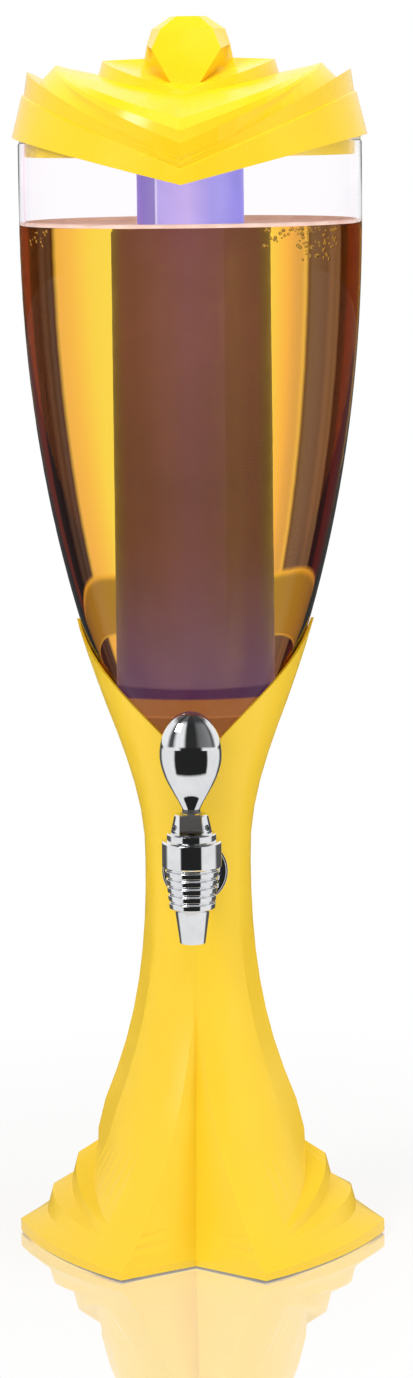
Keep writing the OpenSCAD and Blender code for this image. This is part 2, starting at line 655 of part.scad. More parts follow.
lid_inner = [
    lid_row([skirt_r, lid_tip_z], [skirt_r, lid_side_z]),
    lid_row([skirt_r, liner_z + liner_h + 0.3], [skirt_r, liner_z + liner_h + 0.3]),
    lid_row([skirt_r - 4.3, lid_tip_z + 26.2], [skirt_r - 5, lid_side_z + 19.5]),
    lid_row([skirt_r - 15.3, shelf_z - 12.4], [skirt_r - 12.3, leaf_top_z - 10.7]),
    lid_row([52.5, shelf_z - 4.2], [44.8, leaf_top_z - 7.2]),
    lid_row([48, shelf_z - 1.7], [38.8, leaf_top_z - 1.2]),
    lid_row([24, shelf_z + 4], [bud_r - 3, leaf_top_z - 0.5]),
    lid_row([20, total_h - 15.5], [bud_r - 4.8, total_h - 14.5]),
    lid_row([14, total_h - 8], [bud_r - 9, total_h - 8]),
    lid_row([bud_top_r - 2.5, total_h - 2.6], [bud_top_r - 2.5, total_h - 2.6])
];
crown_boss_at = 60;
crown_boss_r = 3.6;
crown_boss_top = leaf_top_z - 11.8;
crown_boss_grip = 13;
module at_crown_bosses() {
    for (a = [45 : 90 : 315]) rotate(a) translate([crown_boss_at, 0, 0]) children();
}
module lid_crown() {
    color(yellow) difference() {
        union() {
            cap_shell(lid_outer, lid_inner);
            at_crown_bosses() translate([0, 0, liner_z + liner_h])
                cylinder(r = crown_boss_r, h = crown_boss_top - liner_z - liner_h);
        }
        at_crown_bosses() translate([0, 0, liner_z]) cylinder(r = screw_r + screw_slack, h = crown_boss_grip + 1);
    }
}
plug_r = tank_r - tank_wall - lid_gap;
plug_wall = 2;
plug_h = 8;
module lid_liner() {
    color("#F3D34A") difference() {
        union() {
            translate([0, 0, liner_z]) cylinder(r = tank_r - 0.4, h = liner_h);
            ring(plug_r, plug_r - plug_wall, liner_z - plug_h, liner_z + eps);
            ring(spigot_r, spigot_r - 3, liner_z - spigot_h, liner_z + eps);
        }
        translate([0, 0, seal_z]) rotate_extrude()
            translate([spigot_r - seal_wire / 2 + tube_room - 0.02, 0]) circle(r = seal_wire / 2 + 0.03, $fn = 24);
        at_crown_bosses() translate([0, 0, liner_z - 1]) cylinder(r = screw_r + 0.3, h = liner_h + 2);
    }
}
module liner_screws() {
    color("#B9BCC2") at_crown_bosses() pan_screw(0, 0, liner_z, crown_boss_grip);
}
module lid_seal() {
    color("#D8D8D2") ring(tank_r - 0.5, tank_r - tank_wall + 0.3, rim_z + 0.05, liner_z);
}

// ---- tap ----

chamber_r = 9;
seat_z = mouth_z + 21;
barrel_top_z = waist_z + 20;
barrel_foot_z = barrel_top_z - 13.4;
rib_low_z = mouth_z + 17;
rib_low_r = 11;
rib_top_r = 13;
ribs = 5;
rib_cut = 1.1;
neck_of_tap_r = 8.4;
gasket_y = -waist_r - 1.4;
flange_h = 3;
function rib_r(z) = mix(rib_low_r, rib_top_r, (z - rib_low_z) / (barrel_foot_z - rib_low_z));
rib_pitch = (barrel_foot_z - rib_low_z) / ribs;
module at_tap() {
    translate([0, -tap_reach, 0]) children();
}
module tap_outline() {
    polygon(concat(
        [[0, mouth_z], [mouth_r, mouth_z], [mouth_r + 2.2, rib_low_z - 1], [rib_low_r - 0.6, rib_low_z]],
        [for (k = [0 : ribs - 1], p = [[0, 0], [rib_pitch * 0.62, 0], [rib_pitch * 0.74, 1], [rib_pitch * 0.96, 1]])
            let (z = rib_low_z + 0.4 + k * rib_pitch + p[0]) [rib_r(z) - p[1] * rib_cut, z]],
        [[barrel_r - 0.5, barrel_foot_z + 0.6], [barrel_r, barrel_foot_z + 1.2], [barrel_r, barrel_top_z - 0.8],
         [barrel_r - 0.8, barrel_top_z], [0, barrel_top_z]]));
}
module tap_body() {
    color(chrome) difference() {
        union() {
            at_tap() rotate_extrude() tap_outline();
            rod_y(neck_of_tap_r, -tap_reach, gasket_y - 1, 0, waist_z);
            rod_y(flange_r, gasket_y - flange_h, gasket_y - 0.8, 0, waist_z);
            rod_y(flange_r - 0.8, gasket_y - flange_h - 0.8, gasket_y, 0, waist_z);
            rod_y(shank_r, gasket_y - 1, boss_in_y - 0.5, 0, waist_z);
        }
        rod_y(way_r, -tap_reach, boss_in_y + 1, 0, waist_z);
        at_tap() translate([0, 0, seat_z]) cylinder(r = chamber_r, h = 60);
        at_tap() translate([0, 0, mouth_z - 1]) cylinder(r = way_r, h = 60);
    }
}
module port_gasket() {
    color("#D8D8D2") difference() {
        rod_y(flange_r - 3.5, gasket_y, -waist_r + 5, 0, waist_z);
        translate([0, 0, waist_z - flange_r]) cylinder(r = waist_r + 0.45, h = 2 * flange_r, $fn = 96);
        rod_y(shank_r + screw_slack, gasket_y - 1, 0, 0, waist_z);
    }
}

// Bonnet: plug, tier and a fork whose slot takes the lever's foot
plug_in_z = barrel_top_z - 5;
tier_z = barrel_top_z + 3.8;
fork_z = tier_z + 9.1;
fork_low_r = 9.9;
fork_top_r = 8.2;
slot_w = 10.7;
stem_r = 2.5;
stem_room = 0.08;
pin_r = 1.5;
pin_room = 0.05;
pin_back = 5;
pin_z = tier_z + 3.1;
ring_wire = 1.6;
ring_z = plug_in_z + 2.6;
module at_pin() {
    translate([0, -tap_reach - pin_back, pin_z]) children();
}
module tap_bonnet() {
    color(chrome) difference() {
        at_tap() rotate_extrude() polygon([
            [stem_r + stem_room, plug_in_z], [chamber_r - 0.05, plug_in_z], [chamber_r - 0.05, barrel_top_z],
            [11.9, barrel_top_z], [11.9, tier_z - 0.6], [11.3, tier_z], [fork_low_r, tier_z],
            [fork_low_r, tier_z + 0.6], [fork_top_r, fork_z - 0.6], [fork_top_r - 0.6, fork_z],
            [stem_r + stem_room, fork_z]]);
        at_tap() translate([-slot_w / 2, -20, tier_z + 0.1]) cube([slot_w, 40, 20]);
        at_tap() translate([0, 0, ring_z]) rotate_extrude()
            translate([stem_r + stem_room + ring_wire / 2, 0]) circle(r = ring_wire / 2 + 0.03, $fn = 24);
        at_pin() rod_x(pin_r + 0.01, 40);
    }
}
module bonnet_seal() {
    color("#3A3A3D") at_tap() translate([0, 0, ring_z]) rotate_extrude()
        translate([stem_r + stem_room + ring_wire / 2, 0]) circle(r = ring_wire / 2, $fn = 24);
}

foot_w = slot_w - 0.3;
heel_r = 2.95;
cavity_w = 7.8;
toe_w = 3.8;
toe_reach = pin_back + 1;
toe_top = 2.2;
cheek_back = 8.9;
ceiling = 6.4;
collar_z = fork_z + 0.1;
collar_h = 2.4;
collar_ring_r = 4.4;
stud_r = 2.5;
stud_h = 11;
module lever_foot() {
    color("#2C2D31") difference() {
        union() {
            at_pin() rod_x(heel_r, foot_w);
            at_pin() translate([-foot_w / 2, -heel_r, -0.4])
                cube([foot_w, heel_r + cheek_back, collar_z - pin_z + 0.4]);
            at_pin() translate([-foot_w / 2, 0, -2]) cube([foot_w, cheek_back, 4]);
            at_tap() translate([0, 0, collar_z - eps]) cylinder(r = collar_ring_r, h = collar_h);
            at_tap() translate([0, 0, collar_z + collar_h - 2 * eps]) cylinder(r = stud_r, h = stud_h);
        }
        // Room for the stem's head and neck
        at_pin() translate([-cavity_w / 2, 1, toe_top]) cube([cavity_w, 20, ceiling - toe_top]);
        at_pin() translate([-toe_w / 2, 0.5, -4]) cube([toe_w, 20, 4 + ceiling - 1]);
        at_pin() translate([-cavity_w / 2, toe_reach, -4]) cube([cavity_w, 20, 4 + ceiling - 1]);
        at_pin() rod_x(pin_r + pin_room, 40);
    }
}
module lever_pin() {
    pin_len = 2 * sqrt(pow(fork_low_r - 0.9, 2) - pow(pin_back, 2));
    color("#C9CCD1") at_pin() rod_x(pin_r, pin_len);
}
knob_rows = 18;
knob_sides = 32;
knob_belly = 0.56;
knob_z = collar_z + collar_h + 0.02;
function knob_share(t) = t < knob_belly ?
    mix(collar_ring_r / knob_half_w, 1, pow(sin(90 * t / knob_belly), 1.15)) :
    sqrt(1 - pow((t - knob_belly) / (1 - knob_belly), 2));
function knob_t(k) = let (a = k / knob_rows) mix(a, sin(90 * a), 0.75) * 0.999;
module lever_knob() {
    color(chrome) difference() {
        at_tap() stack([for (k = [0 : knob_rows]) let (t = knob_t(k), w = knob_share(t) * knob_half_w,
            d = min(w, mix(collar_ring_r, knob_share(t) * knob_half_d, clamp01(4 * t))))
            [for (i = [0 : knob_sides - 1]) let (a = i * 360 / knob_sides)
                [w * cos(a), d * sin(a), knob_z + t * knob_len]]]);
        at_tap() translate([0, 0, knob_z - 1]) cylinder(r = stud_r + 0.02, h = stud_h + 1.5);
    }
}

// Stem: it hangs on the lever's toe and carries the rubber seat
head_under = toe_top + 0.5;
head_of_stem_r = 3.6;
neck_of_stem_r = 1.5;
cup_r = 7.5;
cup_h = 5;
module tap_stem() {
    head_z = pin_z + head_under;
    color("#DADBD6") at_tap() rotate_extrude() polygon([
        [0, seat_z + 1.5], [stem_r, seat_z + 1.5], [stem_r, tier_z], [neck_of_stem_r, tier_z + 0.6],
        [neck_of_stem_r, head_z], [head_of_stem_r, head_z], [head_of_stem_r, head_z + 1.7],
        [head_of_stem_r - 0.6, head_z + 2.3], [0, head_z + 2.3]]);
}
module seat_cup() {
    color("#D8D8D2") at_tap() difference() {
        translate([0, 0, seat_z + 0.05]) cylinder(r = cup_r, h = cup_h);
        translate([0, 0, seat_z + 1.5]) cylinder(r = stem_r, h = cup_h);
    }
}
spring_wire = 1;
spring_r = 4.6;
module tap_spring() {
    color("#C9CCD1") at_tap() coil(spring_r, spring_wire, seat_z + 0.05 + cup_h, plug_in_z, 7, 14, 6);
}

stand_shell();
base_plate();
plate_screws();
foot_pads();
battery_door();
battery_door_screw();
battery_cells();
battery_contacts();
lamp_post();
lamp_housing();
lamp_board();
lamp_leds();
lamp_window();
lamp_wires();
power_button();
button_switch();
button_spring();
tank();
tank_cushion();
port_gasket();
ice_tube();
tube_seal();
lid_crown();
lid_liner();
liner_screws();
lid_seal();
tap_body();
tap_bonnet();
bonnet_seal();
lever_knob();
lever_foot();
lever_pin();
tap_stem();
seat_cup();
tap_spring();
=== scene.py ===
"""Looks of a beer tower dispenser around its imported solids: shells, drink, ice tube, chromed tap and stage.

Lengths are metres, and Z is up. The tap points along -Y, and the camera stands in front of it.
"""

import json
import math
import random

import bmesh
import bpy
from mathutils import Matrix, Vector

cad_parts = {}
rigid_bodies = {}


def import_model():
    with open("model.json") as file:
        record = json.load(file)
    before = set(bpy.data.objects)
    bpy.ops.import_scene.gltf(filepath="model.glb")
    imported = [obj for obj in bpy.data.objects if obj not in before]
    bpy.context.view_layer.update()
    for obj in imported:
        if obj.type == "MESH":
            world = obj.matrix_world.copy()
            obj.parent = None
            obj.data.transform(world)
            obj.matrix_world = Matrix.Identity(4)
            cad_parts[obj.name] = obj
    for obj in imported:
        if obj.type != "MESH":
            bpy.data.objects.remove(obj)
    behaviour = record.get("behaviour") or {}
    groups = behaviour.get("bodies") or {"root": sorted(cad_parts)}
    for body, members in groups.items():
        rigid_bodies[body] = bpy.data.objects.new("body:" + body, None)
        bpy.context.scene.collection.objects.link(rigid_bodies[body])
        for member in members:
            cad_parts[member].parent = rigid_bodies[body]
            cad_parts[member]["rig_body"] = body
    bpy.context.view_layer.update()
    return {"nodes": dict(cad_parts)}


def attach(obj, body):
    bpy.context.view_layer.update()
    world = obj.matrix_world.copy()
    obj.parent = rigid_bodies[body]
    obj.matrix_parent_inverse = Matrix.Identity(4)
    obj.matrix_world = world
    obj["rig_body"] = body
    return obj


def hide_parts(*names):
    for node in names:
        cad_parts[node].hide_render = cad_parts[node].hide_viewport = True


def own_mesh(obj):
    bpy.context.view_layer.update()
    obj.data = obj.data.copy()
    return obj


bl_info = {
    "name": "Beer tower dispenser",
    "version": (1, 0, 0),
    "blender": (4, 5, 0),
    "location": "View3D > Sidebar > Tower",
    "description": "Dresses the solids of a beer tower dispenser and sets its stage",
    "category": "Object",
}

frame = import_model()
MM = 0.001
WHITE = (1, 1, 1, 1)

# The tank as its solid has it: heights, outer radii, slope halfway up and wall
NECK_Z, HALFWAY_Z, FULL_Z = 0.195, 0.310, 0.508
NECK_RADIUS, HALFWAY_RADIUS, FULL_RADIUS = 0.0231, 0.0562, 0.0826
HALFWAY_SLOPE = 0.29
TANK_WALL = 0.0026
TANK_SUMP_Z = 0.1745  # under this the inner wall stays dry in looks
WALL_REACH = 1.2 * MM  # faces this near the inner radius belong to the inner wall

# The drink
DRINK_FOOT_Z = 0.2025
DRINK_ROWS = 48
# Painted shade: below these heights the drink's colour darkens to brown
SHADED_NECK = (0.2825, 0.2805)  # where the drink turns brown, going down
# Steps in from the wall and up from the level, over which the meniscus climbs
MENISCUS = ((0, 1.9 * MM), (0.35 * MM, 1.6 * MM), (0.8 * MM, 0.6 * MM), (1.8 * MM, 0.1 * MM), (4 * MM, 0))

# The ice tube
TUBE_RADIUS = 25.8 * MM
TUBE_FOOT_Z, LAMPLIT_Z, TUBE_HEAD_Z = 0.27, 0.36, 0.52
CLEAR_FOOT = (0.277, 0.276)  # where its solid foot begins, going down

# Bubbles on the wall, mostly at the right as seen from the tap: how many, from and to degrees, depth in mm
BUBBLE_SEED = 11
BUBBLE_GROUPS = ((30, 28, 44, 8), (60, 42, 62, 15), (14, -68, -54, 8))
BUBBLE_RADII = (0.45, 1.0)  # mm

WELD = 2e-6
BEVEL_ANGLE = 24
SPIN_STEPS = 96

# The stage
FLOOR_RADIUS = 6.0
FOOT_REACH = 0.085
SOFT_LIGHT = 0.48
LAMP_AIM_Z = 0.32
LAMPS = (
    ("key_lamp", (-1.05, -1.3, 1.3), 0.6, 13.4),
    ("fill_lamp", (1.5, -0.5, 0.6), 0.8, 6.0),
    ("top_lamp", (0.1, -0.1, 1.7), 0.8, 11.0),
)
SENSOR_HEIGHT = 36  # mm
# The picture's centre lies a little right of the tower's axis, and the tower leans in it
AIM_RIGHT, AIM_Z = 0.0051, 0.2747
LEAN = -0.65


# ---- colours and nodes ----


def linear(code):
    """An sRGB hex colour as linear red, green, blue and alpha."""
    parts = [int(code[i : i + 2], 16) / 255 for i in (0, 2, 4)]
    return tuple(c / 12.92 if c <= 0.04045 else ((c + 0.055) / 1.055) ** 2.4 for c in parts) + (1.0,)


def grey(level):
    """A grey of that linear brightness."""
    return (level, level, level, 1)


def add(tree, kind, inputs=None, **settings):
    """Adds one node, sets it up, and gives its inputs values or other nodes' outputs."""
    made = tree.nodes.new(kind)
    for key, value in settings.items():
        setattr(made, key, value)
    for key, source in (inputs or {}).items():
        if isinstance(source, bpy.types.NodeSocket):
            tree.links.new(source, made.inputs[key])
        else:
            made.inputs[key].default_value = source
    return made


def own_place(tree):
    """Where on its object a point is."""
    return add(tree, "ShaderNodeTexCoord").outputs["Object"]


def axes(tree, vector):
    """The three parts of a vector."""
    return add(tree, "ShaderNodeSeparateXYZ", {"Vector": vector}).outputs


def reckon(tree, operation, *terms):
    """One sum on numbers and outputs."""
    return add(tree, "ShaderNodeMath", dict(enumerate(terms)), operation=operation).outputs["Value"]


def carry(tree, value, start, end, low=0.0, high=1.0, curve="LINEAR"):
    """Carries a value over from one range to another, and holds it there."""
    inputs = {"Value": value, "From Min": start, "From Max": end, "To Min": low, "To Max": high}
    return add(tree, "ShaderNodeMapRange", inputs, interpolation_type=curve).outputs["Result"]


def ramp(tree, value, stops):
    """A colour ramp through (position, colour) stops."""
    made = add(tree, "ShaderNodeValToRGB", {"Fac": value})
    elements = made.color_ramp.elements
    while len(elements) > 1:
        elements.remove(elements[-1])
    for k, (place, colour) in enumerate(stops):
        element = elements[0] if k == 0 else elements.new(place)
        element.position = place
        element.color = colour
    return made.outputs


def mix_colours(tree, share, first, second):
    """The first colour at 0 and the second at 1."""
    return add(tree, "ShaderNodeMix", {"Factor": share, 6: first, 7: second}, data_type="RGBA").outputs[2]


def mix_shaders(tree, share, first, second):
    """The first shader at 0 and the second at 1."""
    return add(tree, "ShaderNodeMixShader", {"Fac": share, 1: first, 2: second}).outputs["Shader"]


def noise(tree, size, detail, roughness=0.5):
    """Noise in patches of that size."""
    inputs = {"Vector": own_place(tree), "Scale": 1 / size, "Detail": detail, "Roughness": roughness}
    return add(tree, "ShaderNodeTexNoise", inputs).outputs["Fac"]


def mottled(tree, low, high, size):
    """A colour that drifts between two, over patches of that size."""
    return ramp(tree, noise(tree, size, 3.0, 0.55), [(0.3, linear(low)), (0.7, linear(high))])["Color"]


def rippled(tree, size, depth, detail=2.0):
    """A bump of that grain size and depth."""
    inputs = {"Height": noise(tree, size, detail), "Strength": 1.0, "Distance": depth}
    return add(tree, "ShaderNodeBump", inputs).outputs["Normal"]


def uneven(tree, low, high, size, detail=4.0):
    """A value, mostly a roughness, that drifts between two."""
    return carry(tree, noise(tree, size, detail), 0.3, 0.7, low, high)


# ---- materials ----


def empty_material(name):
    """A new material without nodes, and its tree."""
    material = bpy.data.materials.new(name)
    material.use_nodes = True
    material.node_tree.nodes.clear()
    return material, material.node_tree


def finish_shader(tree, inputs):
    """Ends a material in a Principled shader."""
    shader = add(tree, "ShaderNodeBsdfPrincipled", inputs)
    add(tree, "ShaderNodeOutputMaterial", {"Surface": shader.outputs["BSDF"]})


def moulded_plastic(name, low, high, roughness, grain=0.9 * MM, depth=0.012 * MM, coat=0.0, gloss=0.5):
    """Injection moulded plastic: a slightly drifting colour and, if it has a depth, a faint flow ripple."""
    material, tree = empty_material(name)
    inputs = {"Base Color": mottled(tree, low, high, 34 * MM),
              "Roughness": uneven(tree, roughness * 0.85, roughness * 1.2, 12 * MM),
              "IOR": 1.53, "Coat Weight": coat, "Coat Roughness": 0.08, "Specular IOR Level": gloss}
    if depth:
        inputs["Normal"] = rippled(tree, grain, depth)
    finish_shader(tree, inputs)
    return material


def rubber(name, low, high, roughness):
    """Moulded rubber or silicone: matt, with a fine grain."""
    material, tree = empty_material(name)
    finish_shader(tree, {"Base Color": mottled(tree, low, high, 6 * MM), "IOR": 1.45,
                         "Roughness": uneven(tree, roughness * 0.9, min(1.0, roughness * 1.2), 4 * MM),
                         "Normal": rippled(tree, 0.7 * MM, 0.03 * MM)})
    return material


def metal(name, low, high, roughness):
    """Bare or plated metal, with the slight waviness that its making leaves."""
    material, tree = empty_material(name)
    finish_shader(tree, {"Base Color": mottled(tree, low, high, 9 * MM), "Metallic": 1.0,
                         "Roughness": uneven(tree, roughness * 0.8, roughness * 1.3, 7 * MM),
                         "Normal": rippled(tree, 5 * MM, 0.004 * MM)})
    return material


def clear_plastic(name, colour, roughness=0.0, ior=1.49, sheen=1.0):
    """Clear moulded plastic: near colourless, with long soft flow waves. The sheen dims what it mirrors."""
    material, tree = empty_material(name)
    finish_shader(tree, {"Base Color": linear(colour), "Roughness": roughness, "IOR": ior,
                         "Transmission Weight": 1.0, "Specular Tint": grey(sheen),
                         "Normal": rippled(tree, 40 * MM, 0.02 * MM, 0.0)})
    return material


def lager():
    """Lager: clear amber, redder where the eye looks through it aslant. The wall around it does the bending."""
    material, tree = empty_material("amber_lager")
    facing = add(tree, "ShaderNodeLayerWeight", {"Blend": 0.5}).outputs["Facing"]
    amber = ramp(tree, facing, [(0.0, (0.99, 0.72, 0.075, 1)), (0.1, (0.98, 0.66, 0.066, 1)),
                                (0.26, (0.9, 0.42, 0.045, 1))])["Color"]
    # Painted shade: down in the neck little light reaches it, so its colour darkens to brown
    depth = carry(tree, axes(tree, own_place(tree))["Z"], *SHADED_NECK, curve="SMOOTHSTEP")
    tint = mix_colours(tree, depth, amber, (0.27, 0.09, 0.022, 1))
    finish_shader(tree, {"Base Color": tint, "Roughness": 0.0, "IOR": 1.0, "Transmission Weight": 1.0})
    return material


def lager_surface():
    """The drink's top: a film of fine foam that looks pinkish grey at a low angle. Its emission is painted light that
    brightens it.
    """
    material, tree = empty_material("lager_surface")
    tone = mottled(tree, "D5B0A2", "E4CABC", 14 * MM)
    finish_shader(tree, {"Base Color": tone, "Emission Color": tone, "Emission Strength": 0.27, "IOR": 1.05,
                         "Roughness": 0.5, "Normal": rippled(tree, 2 * MM, 0.1 * MM)})
    return material


def ice_tube_material(level):
    """Frosted polystyrene whose glow is painted light, an emission: lavender in air, and mauve where the drink around
    it takes the light.
    """
    material, tree = empty_material("frosted_lavender")
    place = axes(tree, own_place(tree))
    across = carry(tree, place["X"], -TUBE_RADIUS, TUBE_RADIUS)
    # Painted light across the tube: in air, a darker strip at the left, a painted highlight line beside it, a lighter
    # middle and a bluer right side; in the drink, painted shade darkens both sides
    air = ramp(tree, across, [
        (0.0, linear("8A70C8")), (0.19, linear("8F7FC4")), (0.2, linear("E8DEFF")), (0.22, linear("BCA8EE")),
        (0.5, linear("CDB6F6")), (0.72, linear("A79CEE")), (1.0, linear("908AE8"))])["Color"]
    sunk = ramp(tree, across, [
        (0.0, (0.09, 0.045, 0.04, 1)), (0.05, (0.155, 0.05, 0.09, 1)), (0.3, (0.185, 0.064, 0.19, 1)),
        (0.5, (0.19, 0.07, 0.27, 1)), (0.75, (0.178, 0.066, 0.21, 1)), (0.76, (0.15, 0.05, 0.13, 1)),
        (0.95, (0.145, 0.05, 0.1, 1)), (1.0, (0.09, 0.045, 0.04, 1))])["Color"]
    # Painted light: towards its foot the tube is nearer the lamp, so its glow turns bluer and brighter there
    depth = carry(tree, place["Z"], LAMPLIT_Z, TUBE_FOOT_Z, high=0.8, curve="SMOOTHSTEP")
    lit = mix_colours(tree, depth, sunk, (0.17, 0.1, 0.6, 1))
    # Its solid foot is clear and takes the drink's colour, painted into its glow
    footed = mix_colours(tree, carry(tree, place["Z"], *CLEAR_FOOT), lit, (0.7, 0.42, 0.26, 1))
    over = carry(tree, place["Z"], level - 0.5 * MM, level + 0.5 * MM)
    # Painted shade: the middle is farthest from the lamp and from the daylight above, so its glow is dimmed there
    along = carry(tree, place["Z"], TUBE_FOOT_Z, TUBE_HEAD_Z)
    painted_dimming = ramp(tree, along, [(0.0, grey(1.0)), (0.04, grey(0.92)), (0.2, grey(0.82)), (0.45, grey(0.76)),
                             (0.73, grey(1.0))])["Color"]
    cloud = uneven(tree, 0.84, 0.94, 18 * MM, 2.0)
    finish_shader(tree, {"Base Color": linear("2C2638"), "IOR": 1.45, "Roughness": uneven(tree, 0.4, 0.5, 12 * MM),
                         "Emission Color": mix_colours(tree, over, footed, air),
                         "Emission Strength": reckon(tree, "MULTIPLY", cloud, painted_dimming)})
    return material


# ---- pieces ----


def join_scene(name, bm):
    """Turns a bmesh into an object of the scene."""
    mesh = bpy.data.meshes.new(name)
    bm.to_mesh(mesh)
    bm.free()
    made = bpy.data.objects.new(name, mesh)
    bpy.context.scene.collection.objects.link(made)
    return made


def smooth_copy(node, name, crease, material, bevel=0.0):
    """A merged copy of a solid that is smooth up to its creases, and stands for it."""
    source = frame["nodes"][node]
    bm = bmesh.new()
    bm.from_mesh(source.data)
    bmesh.ops.remove_doubles(bm, verts=bm.verts, dist=WELD)
    for face in bm.faces:
        face.smooth = True
    for edge in bm.edges:
        edge.smooth = len(edge.link_faces) == 2 and edge.calc_face_angle(math.pi) < math.radians(crease)
    made = join_scene(name, bm)
    made.data.materials.clear()
    made.data.materials.append(material)
    if bevel:
        soften = made.modifiers.new("soft_edges", "BEVEL")
        soften.width = bevel
        soften.segments = 2
        soften.limit_method = "ANGLE"
        soften.angle_limit = math.radians(BEVEL_ANGLE)
        soften.harden_normals = False
        soften.miter_outer = "MITER_ARC"
    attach(made, source["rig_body"])
    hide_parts(node)
    return made


def coil(node, material):
    """A wire spring, which its joint presses together against its upper end; here only a smooth copy of its solid,
    with a mesh of its own.
    """
    made = smooth_copy(node, node + "_wire", 40, material)
    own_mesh(made)


def finish_nodes(material, *nodes):
    """Gives solids whose shape is right their material."""
    for name in nodes:
        for held in frame["nodes"][name].material_slots:
            held.material = material


def cubic(a, b, slope_a, slope_b, t):
    """A curve from a to b that has those slopes at its ends."""
    return (a * (2 * t**3 - 3 * t * t + 1) + slope_a * (t**3 - 2 * t * t + t)
            + b * (3 * t * t - 2 * t**3) + slope_b * (t**3 - t * t))


def tank_inner_radius(z):
    """The tank's inner radius at a height."""
    if z <= NECK_Z:
        outer = NECK_RADIUS
    elif z <= HALFWAY_Z:
        rise = HALFWAY_Z - NECK_Z
        outer = cubic(NECK_RADIUS, HALFWAY_RADIUS, 0, HALFWAY_SLOPE * rise, (z - NECK_Z) / rise)
    elif z <= FULL_Z:
        rise = FULL_Z - HALFWAY_Z
        outer = cubic(HALFWAY_RADIUS, FULL_RADIUS, HALFWAY_SLOPE * rise, 0, (z - HALFWAY_Z) / rise)
    else:
        outer = FULL_RADIUS
    return outer - TANK_WALL


def spun(name, outline):
    """A solid turned about Z from (radius, height) points that start and end on the axis."""
    bm = bmesh.new()
    verts = [bm.verts.new((r, 0, z)) for r, z in outline]
    edges = [bm.edges.new(pair) for pair in zip(verts, verts[1:])]
    bmesh.ops.spin(bm, geom=verts + edges, axis=(0, 0, 1), cent=(0, 0, 0), angle=math.tau, steps=SPIN_STEPS,
                   use_merge=True)
    bmesh.ops.remove_doubles(bm, verts=bm.verts, dist=1e-7)
    bmesh.ops.recalc_face_normals(bm, faces=bm.faces)
    for face in bm.faces:
        face.smooth = True
    return join_scene(name, bm)


# ---- what a user may change ----


class TowerShape(bpy.types.PropertyGroup):
    drink_level: bpy.props.FloatProperty(
        name="Drink level", description="Height of the drink's surface over the table", default=0.5015,
        min=0.22, max=0.53, unit="LENGTH")
    wall_gap: bpy.props.FloatProperty(
        name="Wall gap", description="Room between the drink and the tank's wall", default=0.00003,
        min=0.0, max=0.001, unit="LENGTH")
    edge_width: bpy.props.FloatProperty(
        name="Edge width", description="Width of the softened edges of the yellow shells", default=0.0004,
        min=0.0, max=0.001, unit="LENGTH")
    crease_angle: bpy.props.FloatProperty(
        name="Crease angle", description="Edges sharper than this stay sharp", default=9.0, min=5.0, max=60.0)


class TowerStage(bpy.types.PropertyGroup):
    camera_distance: bpy.props.FloatProperty(
        name="Camera distance", description="Level distance from the tower's axis", default=1.9, unit="LENGTH")
    camera_height: bpy.props.FloatProperty(
        name="Camera height", description="Height of the camera over the table", default=0.554, unit="LENGTH")
    camera_turn: bpy.props.FloatProperty(
        name="Camera turn", description="Turn of the camera towards the right, in degrees", default=3.0)
    camera_lens: bpy.props.FloatProperty(
        name="Focal length", description="In millimetres, for 36 mm on the tall side", default=102.3,
        unit="CAMERA")
    floor_colour: bpy.props.FloatVectorProperty(
        name="Floor colour", description="Colour of the floor", default=linear("FDFDFD")[:3], size=3,
        subtype="COLOR")


# ---- operators ----


class TOWER_OT_shells(bpy.types.Operator):
    """Dress the stand, the crown lid and its liner"""

    bl_idname = "tower.shells"
    bl_label = "Yellow shells"

    def execute(self, context):
        shape = context.scene.tower_shape
        # Glossy ABS, moulded: an even warm yellow with a clear sheen
        stand = moulded_plastic("abs_yellow_stand", "FFD222", "FFD528", 0.34, 14 * MM, 0.02 * MM)
        lid = moulded_plastic("abs_yellow_lid", "FFD20F", "FFD615", 0.24, depth=0, gloss=0.45)
        smooth_copy("stand_shell", "stand_shell_smooth", shape.crease_angle, stand, shape.edge_width)
        smooth_copy("lid_crown", "lid_crown_smooth", shape.crease_angle, lid, shape.edge_width)
        liner = moulded_plastic("abs_yellow_liner", "F2CF3C", "F8D744", 0.3)
        smooth_copy("lid_liner", "lid_liner_smooth", 30, liner)
        return {"FINISHED"}


class TOWER_OT_tank(bpy.types.Operator):
    """Dress the clear tank"""

    bl_idname = "tower.tank"
    bl_label = "Tank"

    def execute(self, context):
        wall = smooth_copy("tank", "tank_clear_wall", 30, clear_plastic("clear_styrene", "FEFEFF", sheen=0.1))
        # Where the drink wets the inner wall, light goes on straight, because both bend it alike
        wall.data.materials.append(clear_plastic("wetted_styrene", "FFFFFF", ior=1.0))
        # Over the drink the thin wall bends next to nothing
        wall.data.materials.append(clear_plastic("dry_styrene", "FFFEFF", ior=1.05))
        wetted, dry = 1, 2
        level = context.scene.tower_shape.drink_level
        bm = bmesh.new()
        bm.from_mesh(wall.data)
        bmesh.ops.bisect_plane(bm, geom=bm.verts[:] + bm.edges[:] + bm.faces[:], dist=1e-7,
                               plane_co=(0, 0, level), plane_no=(0, 0, 1))
        for face in bm.faces:
            middle = face.calc_center_median()
            inside = math.hypot(middle.x, middle.y) < tank_inner_radius(middle.z) + WALL_REACH
            if middle.z > level:
                face.material_index = dry
            elif inside and middle.z > TANK_SUMP_Z:
                face.material_index = wetted
        bm.to_mesh(wall.data)
        bm.free()
        return {"FINISHED"}


